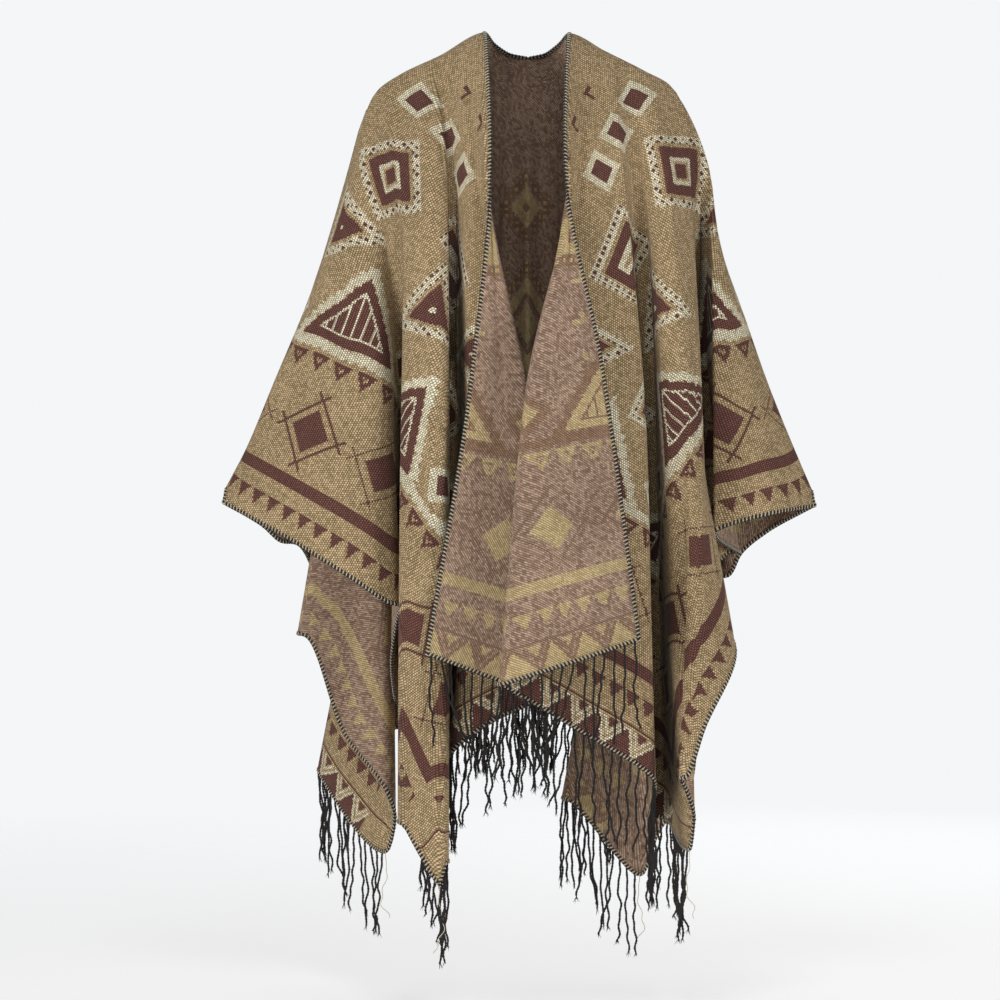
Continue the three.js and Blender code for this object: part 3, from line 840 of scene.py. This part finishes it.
def cloth_material(name, colours, weave):
    """Woven cloth: ground, dark, cream and line yarns, each with its colour."""
    nodes = Nodes(bpy.data.materials.new(name))
    u, v = nodes.flat()
    dark, cream, line = pattern(u.stepped(THREAD), v.stepped(THREAD))
    height, tone = threads(nodes, u, v, weave)
    ground, motif, pale = [nodes.mixed(tone, colours[yarn], colours[yarn + "_fleck"])
                           for yarn in ("ground", "dark", "cream")]
    colour = nodes.mixed(dark, ground, motif)
    colour = nodes.mixed(line, colour, colours["line"])
    colour = nodes.mixed(cream, colour, pale)
    worn = (nodes.clouds(u, v, WEAR_PATCH) - 0.5) * WEAR
    # Painted shade and light: the colour darkens in the grooves between threads and lightens on their
    # crests; the cloud patches add random lighter and darker tone.
    nodes.feed("Base Color", nodes.shaded(colour, weave["groove_painted_shade"] + height * weave["crest"] + worn))
    nodes.feed("Normal", nodes.add("ShaderNodeBump", {},
                                   {"Strength": 0.5, "Distance": 0.0006, "Height": height}))
    nodes.keep(Roughness=0.92, Specular_IOR_Level=0.12, Sheen_Weight=0.06)
    return nodes.owner


def yarn_material(name, colour, roughness):
    """Plain thread."""
    nodes = Nodes(bpy.data.materials.new(name))
    nodes.keep(Base_Color=colour, Roughness=roughness, Specular_IOR_Level=0.25)
    return nodes.owner


def placed(name, mesh):
    """A new object of a mesh, with smooth faces, in the scene."""
    for polygon in mesh.polygons:
        polygon.use_smooth = True
    piece = bpy.data.objects.new(name, mesh)
    bpy.context.scene.collection.objects.link(piece)
    return piece


def cloth_piece(points, quads, flat):
    """The cloth as a wall with one material on its outer face and one on its reverse."""
    mesh = bpy.data.meshes.new("cloth")
    mesh.from_pydata((points * MM).tolist(), [], quads.tolist())
    chart = mesh.uv_layers.new(name="flat")
    chart.data.foreach_set("uv", (flat[quads.ravel()] * MM).ravel())
    mesh.materials.append(cloth_material("cloth_outer", OUTER, PLAIN_WEAVE))
    mesh.materials.append(cloth_material("cloth_reverse", REVERSE, TWILL_WEAVE))
    piece = placed("cloth", mesh)
    solid = piece.modifiers.new("wall", "SOLIDIFY")
    solid.thickness = WALL * MM
    solid.offset = 0
    solid.material_offset = 1
    bpy.context.view_layer.objects.active = piece
    bpy.ops.object.modifier_apply(modifier="wall")
    return piece


def tubes(paths, beside, radii, sides):
    """Points and faces of round threads along paths, an array of (thread, point, xyz).

    beside is a direction for each thread that no path follows. radii has one radius a point."""
    count, n = paths.shape[:2]
    along = unit(np.gradient(paths, axis=1))
    first = unit(np.cross(along, np.broadcast_to(beside[:, None], paths.shape)))
    second = np.cross(along, first)
    angle = np.arange(sides) * math.tau / sides
    ring = (np.cos(angle)[:, None] * first[:, :, None] + np.sin(angle)[:, None] * second[:, :, None])
    points = paths[:, :, None] + ring * np.broadcast_to(radii, (count, n))[:, :, None, None]
    index = np.arange(count * n * sides).reshape(count, n, sides)
    turned = np.roll(index, -1, axis=2)
    quads = np.stack([index[:, :-1], index[:, 1:], turned[:, 1:], turned[:, :-1]], axis=-1)
    return points.reshape(-1, 3), quads.reshape(-1, 4)


def thread_piece(name, parts, material):
    """One mesh of many threads, each part made by tubes."""
    base, points, quads = 0, [], []
    for some_points, some_quads in parts:
        points.append(some_points)
        quads.append(some_quads + base)
        base += len(some_points)
    mesh = bpy.data.meshes.new(name)
    mesh.from_pydata((np.concatenate(points) * MM).tolist(), [], np.concatenate(quads).tolist())
    mesh.materials.append(material)
    piece = placed(name, mesh)
    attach(piece, "root")
    return piece


def spaced(line, pitch, *others):
    """Points pitch apart along a line, and what other arrays have there."""
    run = np.concatenate([[0], np.cumsum(np.linalg.norm(np.diff(line, axis=0), axis=1))])
    count = max(2, round(run[-1] / pitch))
    at = (np.arange(count) + 0.5) * run[-1] / count
    return [np.stack([np.interp(at, run, part[:, k]) for k in range(3)], axis=-1)
            for part in (line, *others)]


class Edge:
    """Stitch places along an edge: points, and the ways along it, into the cloth and off its face."""

    def __init__(self, line, inside):
        self.point, inner = spaced(line, STITCH_PITCH, inside)
        self.along = unit(np.gradient(self.point, axis=0))
        inward = inner - self.point
        inward = inward - self.along * (inward * self.along).sum(axis=1)[:, None]
        self.inward = unit(inward)
        self.off = np.cross(self.along, self.inward)


def sewn_edges(fronts, backs):
    """All edges that the overlock runs along: lower and side edges, the opening and the neck."""
    lines = []
    for sheet in fronts:
        lines += [(sheet.grid[:, -1], sheet.grid[:, -2]), (sheet.grid[-1], sheet.grid[-2]),
                  (sheet.grid[0], sheet.grid[1])]
    for sheet in backs:
        lines += [(sheet.grid[:, -1], sheet.grid[:, -2]), (sheet.grid[-1], sheet.grid[-2])]
    for sheet in backs:
        neck = sheet.s <= 0
        lines.append((sheet.grid[neck, 0], sheet.grid[neck, 1]))
    return [Edge(line, inside) for line, inside in lines]


def stitches(edges, start, radius):
    """Overlock stitches, each from one face over the edge to the other."""
    route = named(STITCH_COLUMNS, STITCH_ROUTE)
    thick = radius * np.array([place["thick"] for place in route])
    parts = []
    for edge in edges:
        paths = [edge.point + edge.inward * place["depth"]
                 + edge.off * place["face"] * (WALL / 2 + place["off"])
                 + edge.along * (place["lead"] + start) for place in route]
        parts.append(tubes(np.stack(paths, axis=1), edge.along, thick, 4))
    return parts


def bindings(edges):
    """The cord of loops that the stitches make along each edge."""
    return [tubes(edge.point[None], edge.off[:1], BINDING, 6) for edge in edges]


def cord_axes(start, length, random):
    """Middle lines of cords that hang from start. They come together in bunches, and wave."""
    count = len(start)
    sway = random.normal(0, 0.035, (count, 2))
    bunch = np.cumsum(random.uniform(size=count) < NEW_BUNCH)
    middles = np.array([start[bunch == one, :2].mean(axis=0) for one in range(bunch[-1] + 1)
                        if (bunch == one).any()])
    order = np.unique(bunch, return_inverse=True)[1]
    sway += (middles[order] - start[:, :2]) * (BUNCH_PULL / CORD_LENGTH)
    share = np.linspace(0, 1, CORD_STEPS)
    axis = np.repeat(start[:, None], CORD_STEPS, axis=1)
    axis[:, :, 2] -= length[:, None] * share
    axis[:, :, :2] += sway[:, None] * (length[:, None] * share ** 1.4)[:, :, None]
    for wave in (1.3, 2.7, 5.1):
        phase = random.uniform(0, math.tau, (count, 1, 2))
        size = random.uniform(0.8, 3.6, (count, 1, 2)) / wave ** 0.7
        swing = np.sin(phase + wave * math.tau * share[:, None]) - np.sin(phase)
        axis[:, :, :2] += size * swing * share[:, None] ** 0.5
    return axis


def fringe_cords(hem, seed):
    """Twisted two-ply cords that hang from a hem, each with a frayed end."""
    random = np.random.default_rng(seed)
    start = spaced(hem, CORD_PITCH)[0]
    count = len(start)
    length = CORD_LENGTH * random.uniform(0.88, 1.03, count)
    axis = cord_axes(start, length, random)
    share = np.linspace(0, 1, CORD_STEPS)
    beside = np.tile([0.0, 1.0, 0.0], (count, 1))
    parts = []
    turns = random.uniform(13, 16, (count, 1)) * math.tau * share
    for ply in (0, math.pi):
        path = axis.copy()
        path[:, :, 0] += CORD_RADIUS * 0.55 * np.cos(turns + ply)
        path[:, :, 1] += CORD_RADIUS * 0.55 * np.sin(turns + ply)
        radii = CORD_RADIUS * 0.62 * np.where(share < 0.97, 1, 0.7)
        parts.append(tubes(path, beside, radii, 4))
    for _ in range(FRAYS):
        way = random.normal(0, 0.33, (count, 3))
        way[:, 2] = -1
        reach = random.uniform(4, 9, (count, 1)) * np.array([0, 0.55, 1])
        path = axis[:, -2][:, None] + unit(way)[:, None] * reach[:, :, None]
        parts.append(tubes(path, beside, np.array([0.45, 0.35, 0.12]), 3))
    return parts


def tails(corners, seed):
    """Loose curly thread ends that hang from corners."""
    random = np.random.default_rng(seed)
    t = np.linspace(0, 1, TAIL_STEPS)
    paths = []
    for corner in corners:
        phase = random.uniform(0, math.tau, 3)
        path = corner + np.stack([7 * np.sin(7 * t + phase[0]) * t + 2.5 * np.sin(23 * t + phase[1]) * t,
                                  4 * np.sin(9 * t + phase[2]) * t, -TAIL_LENGTH * t], axis=-1)
        paths.append(path)
    beside = np.tile([0.0, 1.0, 0.0], (len(paths), 1))
    return [tubes(np.array(paths), beside, TAIL_RADIUS, 4)]


def place_view():
    """The camera of the photo: level, with a long lens, in front of the garment."""
    data = bpy.data.cameras.new("camera")
    data.sensor_width = SENSOR
    data.lens = SENSOR * -CAMERA_PLACE[1] / VIEW_WIDTH
    data.clip_end = 50
    camera = bpy.data.objects.new("camera", data)
    camera.location = CAMERA_PLACE
    camera.rotation_euler = (math.pi / 2, 0, 0)
    bpy.context.scene.collection.objects.link(camera)
    bpy.context.scene.camera = camera


def area_light(light):
    """A soft square light that looks from one point at another."""
    data = bpy.data.lights.new(light["name"], "AREA")
    data.size = light["side"]
    data.energy = light["watts"]
    lamp = bpy.data.objects.new(light["name"], data)
    lamp.location = light["place"]
    way = Vector(light["aim"]) - Vector(light["place"])
    lamp.rotation_euler = way.to_track_quat("-Z", "Y").to_euler()
    bpy.context.scene.collection.objects.link(lamp)


def pale_floor():
    """A pale floor under the garment, which fades out into the white around it."""
    bpy.ops.mesh.primitive_circle_add(vertices=64, radius=FLOOR_RADIUS, fill_type="NGON",
                                      location=(0, 0, FLOOR_HEIGHT))
    floor = bpy.context.object
    floor.name = "floor"
    nodes = Nodes(bpy.data.materials.new("floor"))
    place = nodes.add("ShaderNodeTexCoord", {}, output=3)
    away = nodes.add("ShaderNodeVectorMath", {"operation": "LENGTH"}, [place], output=1)
    fade = (away - FLOOR_CLEAR) / (FLOOR_RADIUS - FLOOR_CLEAR - 0.05)
    nodes.feed("Alpha", (~fade).least(1).most(0))
    nodes.keep(Base_Color=(0.62, 0.62, 0.63, 1), Roughness=0.9,
               Emission_Color=(1, 1, 1, 1), Emission_Strength=0.5)
    floor.data.materials.append(nodes.owner)


def pale_room():
    """Soft light from all around. The camera sees a plain pale grey in its place."""
    world = bpy.data.worlds.new("studio")
    bpy.context.scene.world = world
    nodes = Nodes(world, "Background")
    nodes.keep(Color=(0.98, 0.99, 1, 1), Strength=0.12)
    light = Value(nodes, nodes.shader.outputs[0])
    seen = nodes.add("ShaderNodeBackground", {}, {"Color": (0.91, 0.92, 0.93, 1), "Strength": 1})
    by_camera = nodes.add("ShaderNodeLightPath", {}, output="Is Camera Ray")
    either = nodes.add("ShaderNodeMixShader", {}, [by_camera, light, seen])
    nodes.tree.links.new(either.socket, nodes.tree.nodes["World Output"].inputs["Surface"])
    bpy.context.scene.view_settings.view_transform = "Standard"


# The cloth: drape, flat places, then creases that don't change the flat places.
left, left_coarse = panel(RIDGE_LEFT, FRONT_LEFT)
right, right_coarse = panel(RIDGE_RIGHT, FRONT_RIGHT)
rear_left, rear_left_coarse = panel(RIDGE_LEFT, BACK_LEFT)
rear_right, rear_right_coarse = panel(RIDGE_RIGHT, BACK_RIGHT)
flat_left = flattened_front(left, left_coarse)
flat_right = flattened_front(right, right_coarse)
flat_rear_left, flat_rear_right = flattened_back(rear_left, rear_left_coarse,
                                                 rear_right, rear_right_coarse)
creased(left, CREASES_FRONT_LEFT)
creased(right, CREASES_FRONT_RIGHT)
creased(rear_left, CREASES_BACK)
creased(rear_right, CREASES_BACK)

# The chart's u runs across the whole blanket from its centre, and v down the front and up the back.
points, quads = joined([(left.grid, False), (right.grid, True),
                        (both(rear_left.grid, rear_right.grid), False)])
flat = np.concatenate([part.reshape(-1, 2) for part in (
    (flat_left + (NECK, 0)) * (-1, 1), flat_right + (NECK, 0),
    both(flat_rear_left, flat_rear_right) * (1, -1))])
cloth = cloth_piece(points, quads, flat)

# Sewing.
dark_yarn = yarn_material("dark_yarn", (0.016, 0.014, 0.013, 1), 0.85)
pale_yarn = yarn_material("pale_yarn", (0.46, 0.42, 0.33, 1), 0.8)
sewn = sewn_edges((left, right), (rear_left, rear_right))
dark_stitches = thread_piece("edge_stitches_dark", bindings(sewn) + stitches(sewn, 0, DARK_STITCH),
                             dark_yarn)
pale_stitches = thread_piece("edge_stitches_pale", stitches(sewn, STITCH_PITCH / 2, PALE_STITCH),
                             pale_yarn)

# Fringe, and loose thread ends at the corners.
hems = [sheet.grid[sheet.on_hem, -1] for sheet in (left, right, rear_left, rear_right)]
for name, hem, seed in (("front_left", hems[0], 1), ("front_right", hems[1], 2),
                        ("back", both(hems[2], hems[3]), 3)):
    cords = thread_piece(f"cords_{name}", fringe_cords(hem, seed), dark_yarn)
    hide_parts(f"fringe_{name}")
thread_tails = thread_piece("thread_tails", tails([hem[-1] for hem in hems], 7), pale_yarn)

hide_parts("front_left", "front_right", "back")
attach(cloth, "root")

place_view()
for light in named(LIGHT_COLUMNS, LIGHTS):
    area_light(light)
pale_floor()
pale_room()
